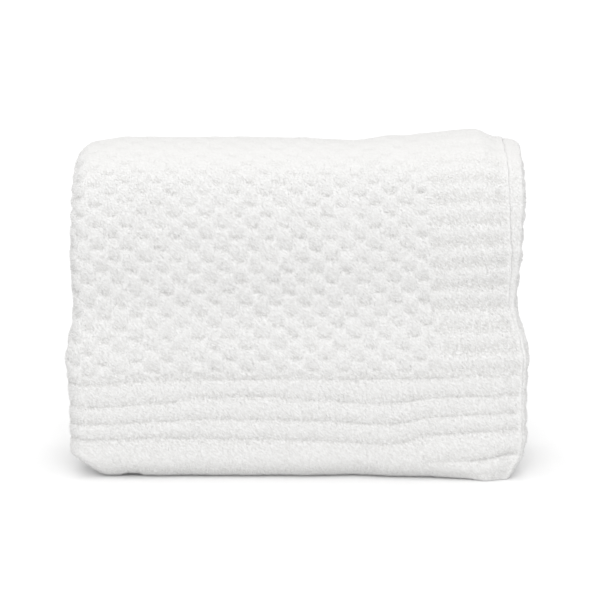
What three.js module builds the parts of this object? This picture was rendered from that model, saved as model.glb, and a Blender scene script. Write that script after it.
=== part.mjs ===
// A basket weave throw blanket, folded in quarters each way and standing on its lower edge.
// It is one knitted cloth, so it is one solid. Millimetres: X to the right, Y away from the
// viewer, Z up, with the origin on the floor under the middle of the folded throw.
//
// Across its width the cloth is folded in half twice, which gives a strip of four plies. The
// outer ply starts at one side edge, on the right of the front, and turns round the left fold
// into the innermost ply. That one turns back at a right hand fold, and the cloth ends inside.
// Along its length the strip is folded in half twice as well: up the front, over the top, down
// the back, round the foot, up inside, over the inner top and down to the other end.
//
// Places along the strip are counted in knitted ribs, which run across the cloth. They stand
// out on the side borders and the end borders only, the field between them being basket weave.
import * as THREE from "three";

// The cloth, and the size it folds to
const CLOTH_WIDTH = 1830;
const CLOTH_LENGTH = 1370;
const HALF_WIDTH = CLOTH_WIDTH / 8;
const HEIGHT = CLOTH_LENGTH / 4;
const PLY = 7.8;

// Room between plies and between the four passes of the strip. The left side, where the folds
// are, is pressed. The right side, where the edges are, has fanned out.
const PLY_GAP = { pressed: 0.8, open: 2.2 };
const PASS_GAP = { pressed: 1, open: 2.4 };
const FAN_START = 60;

// Heights at which the passes turn
const TOP_TURN = 85;
const TURN_HEIGHT = HEIGHT - TOP_TURN;
const FOOT_TURN = 24;
const FOOT_FLAT = Math.sin(Math.PI / 3);

// Where each stretch of the path ends, counted in ribs
const FRONT_END = 12;
const TOP_END = 24;
const BACK_END = 35;
const FOOT_END = 47;
const RISE_END = 58;
const INNER_END = 70;
const PATH_END = 82;

// The borders' ribs. Under the second line lies the plain rolled hem, which splits in two on
// the right alone. Each line is a row of places across and heights on the front, from the floor up.
const RIB_RAISED = 1.4;
const RIB_SUNK = 3.2;
const RIB_AT_EDGE = 0.5;
const RIB_STEP = 0.25;
const RIB_FULLNESS = 0.6;
const END_BORDER_RIBS = 5;
const SIDE_BORDER = 80;
const BORDER_BLEND = 6;
const HEM_SPLIT = { from: 100, over: 60 };
const ribLines = [
  [[-229, 0], [229, 0]],
  [[-229, 17], [100, 18], [172, 21], [212, 27]],
  [[-210, 42], [-145, 44], [-45, 43], [5, 42], [85, 38], [142, 49], [192, 52]],
  [[-210, 58], [-145, 61], [-95, 64], [5, 63], [85, 59], [142, 67], [192, 69]],
  [[-210, 76], [-145, 80], [-95, 86], [-45, 88], [5, 84], [85, 81], [142, 87], [192, 87]],
  [[-210, 100], [-145, 104], [5, 106], [192, 107]],
];

// The cloth's side edges: how wide their outside is rounded, and how far and how deep in the
// ply's thickness their crown stands out. The edges inside stop short of the folds beside them.
const EDGE_ROUND = 10;
const EDGE_CROWN = { by: 2, inside: 0.5, outside: 0.6 };
const INNER_EDGE = HALF_WIDTH - 3;

// Where lines run up the faces, across the width: on the basket weave, and on hidden plies
const FIELD_COLUMNS = [92, 58, 24, -36, -96, -150, -186];
const HIDDEN_COLUMNS = [-80, 60, 125, 165, 200];

// How far the folded throw stands out past its even width, by height. It is drawn in halfway
// up, where the folded bundle has been held.
const sides = [
  { height: 0, left: 1, right: -6, depth: 0 },
  { height: 38, left: 4, right: -1, depth: 0.02 },
  { height: 75, left: 4, right: -1, depth: 0.03 },
  { height: 120, left: 7, right: 0, depth: 0.04 },
  { height: 178, left: -1, right: -12, depth: -0.04 },
  { height: 235, left: 1, right: -8, depth: 0.02 },
  { height: 290, left: 0, right: -5, depth: 0.01 },
  { height: 343, left: -2, right: -4, depth: 0 },
];

// Height of the top across the width, and how far the outer ply's edge lies back from the
// layers behind it, by height
const tops = [
  { across: -230, height: 336 },
  { across: -20, height: 335 },
  { across: 58, height: 333 },
  { across: 92, height: 337 },
  { across: 190, height: 344 },
  { across: 230, height: 346 },
];
const edges = [
  { height: 0, back: 6 },
  { height: 150, back: 7 },
  { height: 190, back: 10 },
  { height: 300, back: 18 },
  { height: 343, back: 24 },
];

// Soft corners. The upper ones sink by "by", the lower ones are drawn in by it at the floor,
// the front more than the back. Each is felt past "from" and in full at "end".
const TOP_LEFT = { from: -178, end: -228, by: 10, above: 240 };
const TOP_RIGHT = { from: 212, end: 226, by: 5, above: 240 };
const FOOT_LEFT = { from: -130, end: -228, by: 28, below: 26 };
const FOOT_RIGHT = { from: 130, end: 228, by: 10, below: 24 };
const FOOT_BACKWARDS = 1.6;
const CORNER_CURVE = 1.4;

// The throw leans back a little and rolls under at the floor. A shallow groove runs up it, and
// its faces are gently uneven.
const LEAN = 0.05;
const ROLL_BELOW = 24;
const roll = [
  { across: -228, by: 17 },
  { across: 125, by: 17 },
  { across: 165, by: 11 },
  { across: 200, by: 3 },
];
const GROOVE = { across: 55, wide: 28, by: 0.03 };
const UNEVEN = { by: 0.02, across: 41, up: 57 };

const COLOUR = 0xf4f2ee;

function ease(share) {
  const held = THREE.MathUtils.clamp(share, 0, 1);
  return held * held * (3 - 2 * held);
}

// Reads a column of a table at a place between its rows
function read(table, key, column, at) {
  const next = table.findIndex((row) => row[key] >= at);
  if (next === 0) return table[0][column];
  if (next < 0) return table[table.length - 1][column];
  const low = table[next - 1];
  const high = table[next];
  const share = ease((at - low[key]) / (high[key] - low[key]));
  return THREE.MathUtils.lerp(low[column], high[column], share);
}

function fanned(gap, x) {
  const share = THREE.MathUtils.clamp((x - FAN_START) / (HALF_WIDTH - FAN_START), 0, 1);
  return THREE.MathUtils.lerp(gap.pressed, gap.open, share);
}

function halfStrip(x) {
  return 2 * PLY + 1.5 * fanned(PLY_GAP, x);
}

function passPitch(x) {
  return 2 * halfStrip(x) + fanned(PASS_GAP, x);
}

// Distance of a ply's outer or inner face from the middle of the strip, plies 0 to 3 from outside
function faceOffset(ply, inner, x) {
  return halfStrip(x) - ply * (PLY + fanned(PLY_GAP, x)) - (inner ? PLY : 0);
}

// Height on the front of a place counted in ribs
function frontHeight(rib, x) {
  const lineHeight = (line) => read(line, 0, 1, x);
  if (rib >= END_BORDER_RIBS) {
    const share = (rib - END_BORDER_RIBS) / (FRONT_END - END_BORDER_RIBS);
    return THREE.MathUtils.lerp(lineHeight(ribLines[END_BORDER_RIBS]), TURN_HEIGHT, share);
  }
  const row = Math.floor(rib);
  return THREE.MathUtils.lerp(lineHeight(ribLines[row]), lineHeight(ribLines[row + 1]), rib - row);
}

// Share of a stretch that a place counted in ribs has covered, and its turn where it bends
const covered = (rib, from, to) => (rib - from) / (to - from);

// The strip's path before it settles: x across, offset out of the strip's outer side
function onPath(x, offset, rib) {
  const pitch = passPitch(x);
  const stretch = TOP_TURN / (1.5 * pitch + halfStrip(x));
  if (rib <= FRONT_END) {
    return new THREE.Vector3(x, -1.5 * pitch - offset, frontHeight(rib, x));
  }
  if (rib <= TOP_END) {
    const turn = Math.PI * covered(rib, FRONT_END, TOP_END);
    const radius = 1.5 * pitch + offset;
    const z = TURN_HEIGHT + stretch * radius * Math.sin(turn);
    return new THREE.Vector3(x, -radius * Math.cos(turn), z);
  }
  if (rib <= BACK_END) {
    const z = THREE.MathUtils.lerp(TURN_HEIGHT, FOOT_TURN, covered(rib, TOP_END, BACK_END));
    return new THREE.Vector3(x, 1.5 * pitch + offset, z);
  }
  if (rib <= FOOT_END) {
    const turn = Math.PI * covered(rib, BACK_END, FOOT_END);
    const radius = 0.5 * pitch + offset;
    const down = (FOOT_TURN / (0.5 * pitch + halfStrip(x))) * radius;
    const z = FOOT_TURN - down * Math.min(1, Math.sin(turn) / FOOT_FLAT);
    return new THREE.Vector3(x, pitch + radius * Math.cos(turn), z);
  }
  if (rib <= RISE_END) {
    const z = THREE.MathUtils.lerp(FOOT_TURN, TURN_HEIGHT, covered(rib, FOOT_END, RISE_END));
    return new THREE.Vector3(x, 0.5 * pitch - offset, z);
  }
  if (rib <= INNER_END) {
    const turn = Math.PI * covered(rib, RISE_END, INNER_END);
    const radius = 0.5 * pitch - offset;
    const z = TURN_HEIGHT + stretch * radius * Math.sin(turn);
    return new THREE.Vector3(x, radius * Math.cos(turn), z);
  }
  return new THREE.Vector3(x, offset - 0.5 * pitch, frontHeight(PATH_END - rib, x));
}

function cornerShare(corner, x) {
  const share = THREE.MathUtils.clamp((x - corner.from) / (corner.end - corner.from), 0, 1.1);
  return share ** CORNER_CURVE;
}

// Settles a point of the even stack into the uneven form in which the throw stands
function settle(point) {
  const { x, y, z } = point;
  const pitch = passPitch(x);
  const outward = y / (2 * pitch);
  const side = x < 0 ? "left" : "right";
  const foot = x < 0 ? FOOT_LEFT : FOOT_RIGHT;
  const low = THREE.MathUtils.clamp(1 - z / foot.below, 0, 1);
  const forward = 1 - THREE.MathUtils.clamp(0.5 + outward / 2, 0, 1) ** FOOT_BACKWARDS;
  const drawnIn = cornerShare(foot, x) * foot.by * low * forward;
  const dropped =
    cornerShare(TOP_LEFT, x) * TOP_LEFT.by * ease((z - TOP_LEFT.above) / (HEIGHT - TOP_LEFT.above)) +
    cornerShare(TOP_RIGHT, x) * TOP_RIGHT.by * ease((z - TOP_RIGHT.above) / (HEIGHT - TOP_RIGHT.above));
  const rise = (z * read(tops, "across", "height", x)) / HEIGHT;
  const widened = read(sides, "height", side, z) * Math.abs(x / HALF_WIDTH);
  const groove = GROOVE.by * Math.exp(-(((x - GROOVE.across) / GROOVE.wide) ** 2));
  const uneven = UNEVEN.by * Math.sin(x / UNEVEN.across) * Math.sin(z / UNEVEN.up);
  const fullness = 1 + read(sides, "height", "depth", z) - groove + uneven;
  const inFrontPass = THREE.MathUtils.clamp(-2 * outward - 1, 0, 1);
  const under = THREE.MathUtils.clamp(1 - z / ROLL_BELOW, 0, 1);
  const rolled = read(roll, "across", "by", x) * (1 - Math.sqrt(1 - under * under)) * inFrontPass;
  return point.set(
    x + Math.sign(x) * (widened - drawnIn),
    y * fullness + LEAN * z + rolled,
    rise - dropped,
  );
}

// The ribs' relief on the outer side: 0 at a line between ribs, 1 on a rib's crown
function ribShape(rib, x) {
  const crown = (turns) => Math.abs(Math.sin(Math.PI * turns)) ** RIB_FULLNESS;
  if (rib >= 2) return crown(rib);
  const split = ease((x - HEM_SPLIT.from) / HEM_SPLIT.over);
  return THREE.MathUtils.lerp(crown(rib / 2), crown(rib), split);
}

function relief(rib, x, fromEdge) {
  if (rib >= BACK_END) return 0;
  const onSide = ease((SIDE_BORDER + BORDER_BLEND - fromEdge) / (2 * BORDER_BLEND));
  const onEnd = rib <= END_BORDER_RIBS ? 1 : ease(1 - (rib - END_BORDER_RIBS) * 2);
  const clearOfFloor = ease(Math.min(rib, BACK_END - rib) * 2);
  const pastEdge = THREE.MathUtils.lerp(RIB_AT_EDGE, 1, ease(fromEdge / EDGE_ROUND));
  const height = (RIB_RAISED + RIB_SUNK) * ribShape(rib, x) - RIB_SUNK;
  return height * Math.max(onSide, onEnd) * clearOfFloor * pastEdge;
}

// Places along the path at which a line of the section has a point. Every line has the sparse
// ones. A line that shows ribs has four more to a rib, on the end border or all the way.
const sparse = [0, 0.5, 1, 2, 4, 6, 8, 10];
for (let rib = FRONT_END; rib < TOP_END; rib += 2) sparse.push(rib);
sparse.push(24, 26, 28, 30, 32);
for (let rib = BACK_END; rib < FOOT_END; rib += 2) sparse.push(rib);
sparse.push(47, 50, 52, 54, 56);
for (let rib = RISE_END; rib < INNER_END; rib += 2) sparse.push(rib);
sparse.push(70, 72, 74, 76, 78, 80, 81, PATH_END);

function places(fineUntil) {
  const all = new Set(sparse);
  for (let rib = 0; rib <= fineUntil; rib += RIB_STEP) all.add(rib);
  return [...all].sort((a, b) => a - b);
}
const PLAIN = places(0);
const END_RIBS = places(END_BORDER_RIBS + 0.5);
const ALL_RIBS = places(BACK_END);

// The outline of the strip's section, as the lines that it draws along the path. Each line
// gives its place across and through the strip, and the places along the path at which it has points.
const lines = [];
const foldCentre = -HALF_WIDTH + halfStrip(-HALF_WIDTH);

function addLine(across, offset, along, isOuter = false) {
  lines.push({ across, offset, along, isOuter });
}

function addFace(ply, inner, columns) {
  for (const x of columns) addLine(() => x, (at) => faceOffset(ply, inner, at), PLAIN);
}

// A turn from one ply into another, about a point in the section, leaving out its two ends
function addTurn(centre, middle, radius, from, to, steps, along = PLAIN, isOuter = false) {
  for (let step = 1; step < steps; step += 1) {
    const angle = THREE.MathUtils.lerp(from, to, step / steps) * Math.PI;
    const x = centre + radius * Math.cos(angle);
    addLine(() => x, () => middle + radius * Math.sin(angle), along, isOuter);
  }
}

// The side edges of the cloth, by the height at which they lie
function outerEdge(rib) {
  const height = onPath(HALF_WIDTH, 0, rib).z;
  return HALF_WIDTH - read(edges, "height", "back", height);
}

const hiddenColumns = [foldCentre, ...HIDDEN_COLUMNS];
const backwards = (columns) => [...columns].reverse();
const rightFoldRadius = PLY + PLY_GAP.open / 2;
const rightFoldCentre = HALF_WIDTH - rightFoldRadius;
const leftRadius = halfStrip(-HALF_WIDTH);
const rightMiddle = faceOffset(2, true, rightFoldCentre) - fanned(PLY_GAP, rightFoldCentre) / 2;

// Outer ply, outside, from its edge to the left fold
const borderInside = SIDE_BORDER - BORDER_BLEND;
const borderOutside = SIDE_BORDER + BORDER_BLEND;
for (const fromEdge of [0, EDGE_ROUND, SIDE_BORDER / 2, borderInside, borderOutside]) {
  addLine((rib) => outerEdge(rib) - fromEdge, halfStrip, ALL_RIBS, true);
}
for (const x of [...FIELD_COLUMNS, foldCentre]) {
  addLine(() => x, halfStrip, END_RIBS, true);
}
addTurn(foldCentre, 0, leftRadius, 0.5, 1.5, 8, END_RIBS, true);

// Innermost ply, inside, to the right fold and round it to the third ply
addFace(3, true, [...hiddenColumns, rightFoldCentre]);
addTurn(rightFoldCentre, rightMiddle, rightFoldRadius, -0.5, 0.5, 4);
addFace(2, false, backwards([...hiddenColumns, rightFoldCentre]));
addTurn(foldCentre, 0, PLY_GAP.pressed / 2, 1.5, 0.5, 2);

// Second ply, to its edge and back to the left fold inside the outer one
addFace(1, true, [...hiddenColumns, INNER_EDGE]);
const secondCrown = (x) => faceOffset(1, true, x) + EDGE_CROWN.inside * PLY;
addLine(() => INNER_EDGE + EDGE_CROWN.by, secondCrown, PLAIN);
addFace(1, false, backwards([...hiddenColumns, INNER_EDGE]));
addTurn(foldCentre, 0, PLY + PLY_GAP.pressed / 2, 0.5, 1.5, 4);

// Third ply to the right fold, inside it, and the innermost ply back to the left
addFace(2, true, [...hiddenColumns, rightFoldCentre]);
addTurn(rightFoldCentre, rightMiddle, PLY_GAP.open / 2, 0.5, -0.5, 2);
addFace(3, false, backwards([...hiddenColumns, rightFoldCentre]));
addTurn(foldCentre, 0, leftRadius - PLY, 1.5, 0.5, 4);

// Outer ply, inside, to its edge
addFace(0, true, hiddenColumns);
addLine(outerEdge, (x) => faceOffset(0, true, x), PLAIN);
const outerCrown = (x) => faceOffset(0, false, x) - EDGE_CROWN.outside * PLY;
addLine((rib) => outerEdge(rib) + EDGE_CROWN.by, outerCrown, PLAIN);

// Points of every line, settled
const positions = [];
for (const line of lines) {
  line.points = line.along.map((rib) => {
    const x = line.across(rib);
    const offset = line.offset(x);
    const raised = line.isOuter ? relief(rib, x, outerEdge(rib) - x) : 0;
    const aside = (raised * Math.min(0, x - foldCentre)) / leftRadius;
    const out = (raised * offset) / halfStrip(x);
    const point = settle(onPath(x + aside, offset + out, rib));
    positions.push(point.x, point.y, point.z);
    return positions.length / 3 - 1;
  });
}

// The skin between each line and the next: the one that lags is carried forward, and of two
// that are level the right hand one, so that faces which lie together bend along like diagonals
const triangles = [];
const acrossOf = (id) => positions[3 * id];
lines.forEach((line, index) => {
  const other = lines[(index + 1) % lines.length];
  let here = 0;
  let there = 0;
  while (here < line.along.length - 1 || there < other.along.length - 1) {
    const nextHere = line.along[here + 1] ?? Infinity;
    const nextThere = other.along[there + 1] ?? Infinity;
    const isRight = acrossOf(line.points[here]) > acrossOf(other.points[there]);
    if (nextHere < nextThere || (nextHere === nextThere && isRight)) {
      triangles.push(line.points[here], line.points[here + 1], other.points[there]);
      here += 1;
    } else {
      triangles.push(line.points[here], other.points[there + 1], other.points[there]);
      there += 1;
    }
  }
});

// The two ends of the cloth, which stand on the floor
function closeEnd(atStart) {
  const ring = lines.map((line) => (atStart ? line.points[0] : line.points.at(-1)));
  const flat = ring.map((id) => new THREE.Vector2(positions[3 * id], positions[3 * id + 1]));
  for (const [a, b, c] of THREE.ShapeUtils.triangulateShape(flat, [])) {
    const outward = THREE.ShapeUtils.area([flat[a], flat[b], flat[c]]) < 0;
    triangles.push(ring[a], ring[outward ? b : c], ring[outward ? c : b]);
  }
}
closeEnd(true);
closeEnd(false);

const geometry = new THREE.BufferGeometry();
geometry.setAttribute("position", new THREE.Float32BufferAttribute(positions, 3));
geometry.setIndex(triangles);
geometry.computeBoundingBox();
const middle = geometry.boundingBox.getCenter(new THREE.Vector3());
geometry.translate(-middle.x, -middle.y, -geometry.boundingBox.min.z);
geometry.computeVertexNormals();

const throwBlanket = new THREE.Mesh(
  geometry,
  new THREE.MeshStandardMaterial({ color: COLOUR, roughness: 0.95, metalness: 0 }),
);
throwBlanket.name = "throw_blanket";

const throwGroup = new THREE.Group();
throwGroup.add(throwBlanket);
export default throwGroup;
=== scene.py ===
# %% [markdown]
# # A basket weave throw blanket, folded and standing on its lower edge
#
# The throw is one thick cloth, knitted from a soft chenille yarn. Its field is a basket weave of
# small puffs, its borders are ribbed, and the whole of it is folded in quarters each way. The
# plain folded solid comes from the frame. Here it gets a finer skin on the same folds, the knit
# as real relief, a short pile, a finish, and a studio to be seen in.

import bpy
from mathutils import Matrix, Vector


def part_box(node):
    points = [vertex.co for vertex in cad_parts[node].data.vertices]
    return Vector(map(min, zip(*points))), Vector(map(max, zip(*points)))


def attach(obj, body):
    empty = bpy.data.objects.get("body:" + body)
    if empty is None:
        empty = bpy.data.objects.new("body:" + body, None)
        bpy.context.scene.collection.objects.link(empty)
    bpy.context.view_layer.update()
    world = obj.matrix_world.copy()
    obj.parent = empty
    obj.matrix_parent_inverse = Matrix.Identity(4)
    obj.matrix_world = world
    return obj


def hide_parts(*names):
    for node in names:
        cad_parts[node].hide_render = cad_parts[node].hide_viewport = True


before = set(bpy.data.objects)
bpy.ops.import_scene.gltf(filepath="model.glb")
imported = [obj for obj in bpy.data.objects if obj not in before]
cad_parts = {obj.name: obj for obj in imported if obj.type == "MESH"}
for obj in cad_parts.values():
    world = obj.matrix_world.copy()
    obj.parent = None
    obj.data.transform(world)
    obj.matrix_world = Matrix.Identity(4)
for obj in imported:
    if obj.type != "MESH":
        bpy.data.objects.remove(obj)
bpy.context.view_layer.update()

# %% Names used all through
import math

import bpy
import numpy as np
from mathutils import Vector

MM = 0.001
NODE = "throw_blanket"

# %% [markdown]
# ## The camera
#
# The throw is seen straight from the front and a little from above, from far away, so that its
# long lines stay almost parallel. The camera comes first, because it says what the front is.

# %% Camera
ELEVATION = math.radians(12)
DISTANCE = 2.3
LENS, SENSOR_WIDTH = 138, 36
AIM = Vector((0.0025, -0.0574, 0.1812))


def make_camera():
    back = Vector((0, -math.cos(ELEVATION), math.sin(ELEVATION)))
    data = bpy.data.cameras.new("camera")
    data.lens = LENS
    data.sensor_width = SENSOR_WIDTH
    camera = bpy.data.objects.new("camera", data)
    camera.location = AIM + back * DISTANCE
    camera.rotation_mode = "QUATERNION"
    camera.rotation_quaternion = (-back).to_track_quat("-Z", "Y")
    bpy.context.scene.collection.objects.link(camera)
    bpy.context.scene.camera = camera


make_camera()
print("camera looks down by", round(math.degrees(ELEVATION)), "degrees")

# %% [markdown]
# ## The folds
#
# Across its width the cloth is folded in half twice, into a strip of four plies. The strip is
# folded in half twice as well: up the front, over the top, down the back, round the foot, up
# inside, over the inner top and down to the other end. A cloth simulation could fold it too, but
# it would not land on the folds that the solid has. So the folds are drawn by formula, from the
# same sizes as the solid's, and the fine skin lies where the solid lies. Two things are finer
# here: the front end hangs a little clear of the floor, and the outer ply thins towards its edge.
# Lengths are in millimetres until the mesh is made. Places along the strip are counted in ribs.

# %% Sizes of the cloth and its folds
CLOTH_WIDTH = 1830
CLOTH_LENGTH = 1370
PLIES, PASSES = 4, 4
HALF_WIDTH = CLOTH_WIDTH / PLIES / 2
HEIGHT = CLOTH_LENGTH / PASSES
PLY = 7.8

# The gaps between plies and between passes widen from FAN_START on to the right
PLY_GAP = (0.8, 2.2)
PASS_GAP = (1, 2.4)
FAN_START = 60

# Heights of the turns over the top and under the foot. The one under the foot is a half circle
# that lies flat on the floor over its middle third.
TOP_TURN = 85
TURN_HEIGHT = HEIGHT - TOP_TURN
FOOT_TURN = 24
FOOT_FLAT = math.sin(math.pi / 3)

# Where each stretch of the path ends, in ribs. Two more places part the front and the top.
FRONT_END, TOP_END, BACK_END, FOOT_END, RISE_END, INNER_END, PATH_END = 12, 24, 35, 47, 58, 70, 82
LOW_END, TOP_MIDDLE = 6, 18
print("folded", 2 * HALF_WIDTH, "wide and about", HEIGHT, "high, in", PLIES * PASSES, "plies")

# %% Creases between the lowest ribs
# From the floor up, each as rows of place across and height on the front
RIB_LINES = (
    ((-229, 0), (229, 0)),
    ((-229, 17), (100, 18), (172, 21), (212, 27)),
    ((-210, 42), (-145, 44), (-45, 43), (5, 42), (85, 38), (142, 49), (192, 52)),
    ((-210, 58), (-145, 61), (-95, 64), (5, 63), (85, 59), (142, 67), (192, 69)),
    ((-210, 76), (-145, 80), (-95, 86), (-45, 88), (5, 84), (85, 81), (142, 87), (192, 87)),
    ((-210, 100), (-145, 104), (5, 106), (192, 107)),
)
END_BORDER_RIBS = 5
SIDE_BORDER = 80
BORDER_BLEND = 6
print("end borders of", END_BORDER_RIBS, "ribs, side borders", SIDE_BORDER, "wide")

# %% Tables of the uneven form
# Each row is a place and a value. By height: how far the left and the right side stand out, the
# share by which the stack is thicker, and how far the outer ply's edge lies in from the side.
LEFT_OUT = ((0, 1), (38, 4), (75, 4), (120, 7), (178, -1), (235, 1), (290, 0), (343, -2))
RIGHT_OUT = ((0, -6), (38, -1), (75, -1), (120, 0), (178, -12), (235, -8), (290, -5), (343, -4))
DEPTH = ((0, 0), (38, 0.02), (75, 0.03), (120, 0.04), (178, -0.04), (235, 0.02), (290, 0.01), (343, 0))
EDGES = ((0, 6), (150, 7), (190, 10), (300, 18), (343, 24))

# By place across: the height of the top
TOPS = ((-230, 336), (-20, 335), (58, 333), (92, 337), (190, 344), (230, 346))

# Soft corners: from, end, by, and the height above or below which each is felt. The lower ones
# are drawn in at the front most, and towards the back less and less.
TOP_LEFT, TOP_RIGHT = (-178, -228, 10, 240), (212, 226, 5, 240)
FOOT_LEFT, FOOT_RIGHT = (-130, -228, 28, 26), (130, 228, 10, 24)
FOOT_BACKWARDS = 1.6
CORNER_CURVE, CORNER_MOST = 1.4, 1.1

# The lean, the roll under at the floor by place across, a shallow groove, and gentle waves
LEAN = 0.05
ROLL, ROLL_BELOW = ((-228, 17), (125, 17), (165, 11), (200, 3)), 24
GROOVE_ACROSS, GROOVE_WIDE, GROOVE_BY = 55, 28, 0.03
UNEVEN_BY, UNEVEN_ACROSS, UNEVEN_UP = 0.02, 41, 57

# How far the front end of the cloth hangs clear of the floor, by place across
HEM_LIFT = ((-228, 0), (-186, 1), (-174, 3), (-166, 3), (-156, 1), (165, 1), (200, 0))

# Towards its edge the outer ply thins and nestles against the ply behind: how far its outer
# and its inner face sink there, and over what width
EDGE_SINKS, EDGE_NESTLES, EDGE_SOFT_WIDE = 7.5, 2, 26
print("top between", min(top for _, top in TOPS), "and", max(top for _, top in TOPS))


# %% Reading the tables
def ease(share):
    """A share from 0 to 1, made to start and end gently."""
    held = np.clip(share, 0, 1)
    return held * held * (3 - 2 * held)


def lerp(low, high, share):
    """The value a share of the way from low to high."""
    return low + (high - low) * share


def read(table, at):
    """The table's value at a place, eased from row to row."""
    places, values = np.array(table, float).T
    upper = np.clip(np.searchsorted(places, at), 1, len(places) - 1)
    share = ease((at - places[upper - 1]) / (places[upper] - places[upper - 1]))
    return lerp(values[upper - 1], values[upper], share)


def fanned(gap, x):
    """A gap at a place across: tight at the left fold, wider towards the right."""
    return lerp(*gap, np.clip((x - FAN_START) / (HALF_WIDTH - FAN_START), 0, 1))


def half_strip(x):
    """Half the thickness of the strip's four plies and the gaps between them."""
    return 2 * PLY + 1.5 * fanned(PLY_GAP, x)


def pass_pitch(x):
    """Distance from the middle of one pass of the strip to the middle of the next."""
    return 2 * half_strip(x) + fanned(PASS_GAP, x)


def face_offset(ply, inner, x):
    """Distance of a ply's face from the middle of the strip, with plies 0 to 3 from outside."""
    return half_strip(x) - ply * (PLY + fanned(PLY_GAP, x)) - (PLY if inner else 0)


# %% The strip's path, up, over, down and back up inside
def front_height(rib, x):
    """Height on the front of a place counted in ribs. The lowest creases bow and tilt."""
    rows = [read(line, x) for line in RIB_LINES]
    height = lerp(rows[-1], TURN_HEIGHT, (rib - END_BORDER_RIBS) / (FRONT_END - END_BORDER_RIBS))
    for row in range(END_BORDER_RIBS):
        below = rib < row + 1
        within = lerp(rows[row], rows[row + 1], rib - row)
        height = np.where(below & (rib >= row), within, height)
    return height


def on_path(x, offset, rib):
    """A point of the even stack: y and z of a place across, off the strip and along it."""
    pitch = pass_pitch(x)
    stretch = TOP_TURN / (1.5 * pitch + half_strip(x))
    deepen = FOOT_TURN / (0.5 * pitch + half_strip(x))

    def turn(start, end):
        return math.pi * (rib - start) / (end - start)

    over = turn(FRONT_END, TOP_END)
    under = turn(BACK_END, FOOT_END)
    inside = turn(RISE_END, INNER_END)
    outer, foot, inner = 1.5 * pitch + offset, 0.5 * pitch + offset, 0.5 * pitch - offset
    down = lerp(TURN_HEIGHT, FOOT_TURN, (rib - TOP_END) / (BACK_END - TOP_END))
    up = lerp(FOOT_TURN, TURN_HEIGHT, (rib - FOOT_END) / (RISE_END - FOOT_END))
    ends = (FRONT_END, TOP_END, BACK_END, FOOT_END, RISE_END, INNER_END)
    stretches = [rib <= end for end in ends]
    y = np.select(
        stretches,
        [
            -outer,
            -outer * np.cos(over),
            outer,
            pitch + foot * np.cos(under),
            inner,
            inner * np.cos(inside),
        ],
        offset - 0.5 * pitch,
    )
    z = np.select(
        stretches,
        [
            front_height(rib, x),
            TURN_HEIGHT + stretch * outer * np.sin(over),
            down,
            FOOT_TURN - deepen * foot * np.minimum(1, np.sin(under) / FOOT_FLAT),
            up,
            TURN_HEIGHT + stretch * inner * np.sin(inside),
        ],
        front_height(PATH_END - rib, x),
    )
    return y, z


# %% Settling the even stack
def corner_share(corner, x):
    """How far a place across is into a soft corner: 0 at its start, 1 at its end."""
    start, end = corner[:2]
    return np.clip((x - start) / (end - start), 0, CORNER_MOST) ** CORNER_CURVE


def settle(x, y, z):
    """Moves points of the even stack to the uneven form in which the throw stands."""
    is_left = x < 0
    foot_by = np.where(is_left, FOOT_LEFT[2], FOOT_RIGHT[2])
    foot_below = np.where(is_left, FOOT_LEFT[3], FOOT_RIGHT[3])
    foot_share = np.where(is_left, corner_share(FOOT_LEFT, x), corner_share(FOOT_RIGHT, x))
    backwards = np.clip(0.5 + y / (PASSES * pass_pitch(x)), 0, 1) ** FOOT_BACKWARDS
    drawn_in = foot_share * foot_by * np.clip(1 - z / foot_below, 0, 1) * (1 - backwards)
    dropped = sum(
        corner_share(corner, x) * corner[2] * ease((z - corner[3]) / (HEIGHT - corner[3]))
        for corner in (TOP_LEFT, TOP_RIGHT)
    )
    rise = z * read(TOPS, x) / HEIGHT
    widened = np.where(is_left, read(LEFT_OUT, z), read(RIGHT_OUT, z)) * np.abs(x / HALF_WIDTH)
    groove = GROOVE_BY * np.exp(-(((x - GROOVE_ACROSS) / GROOVE_WIDE) ** 2))
    uneven = UNEVEN_BY * np.sin(x / UNEVEN_ACROSS) * np.sin(z / UNEVEN_UP)
    fullness = 1 + read(DEPTH, z) - groove + uneven
    in_front_pass = np.clip(-y / pass_pitch(x) - 1, 0, 1)
    low = np.clip(1 - z / ROLL_BELOW, 0, 1)
    rolled = read(ROLL, x) * (1 - np.sqrt(1 - low * low)) * in_front_pass
    return np.stack(
        [x + np.sign(x) * (widened - drawn_in), y * fullness + LEAN * z + rolled, rise - dropped],
        axis=1,
    )


def outer_edge(rib):
    """Where the outer ply's side edge lies across the front."""
    height = on_path(np.full_like(rib, HALF_WIDTH), 0, rib)[1]
    return HALF_WIDTH - read(EDGES, height)


# %% [markdown]
# ## The skin
#
# The cloth could be a flat grid, folded and then thickened, but where plies touch the thickening
# would push them through each other. So the section of the strip is drawn as one closed outline,
# of lines that run along the path. Lines that show lie about 2.5 mm apart, close enough for a
# puff of the knit to be round. Lines between the plies can't be seen, so a few are enough there.
# Each point also keeps its place on the cloth, across and along, and how much of each kind of
# knit it has. The relief reads these later.

# %% Places along the path
DECIMALS = 6


def places(*stretches):
    """Places along the path: each stretch gives its start, its end and its steps to one rib."""
    found = [0.0]
    for start, end, steps in stretches:
        found.extend(np.linspace(start, end, round((end - start) * steps) + 1))
    return np.unique(np.round(found, DECIMALS))


OUTSIDE = ((0, LOW_END, 14), (LOW_END, TOP_END, 10), (TOP_END, BACK_END, 7))
FACE = places(*OUTSIDE, (BACK_END, PATH_END, 1))
FOLD = places(*OUTSIDE, (BACK_END, PATH_END, 6))
EDGE = places((0, LOW_END, 10), (LOW_END, BACK_END, 7), (BACK_END, PATH_END, 5))
HIDDEN = places((0, PATH_END, 1))
print("stations on a face line", len(FACE), "and on a hidden one", len(HIDDEN))

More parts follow.
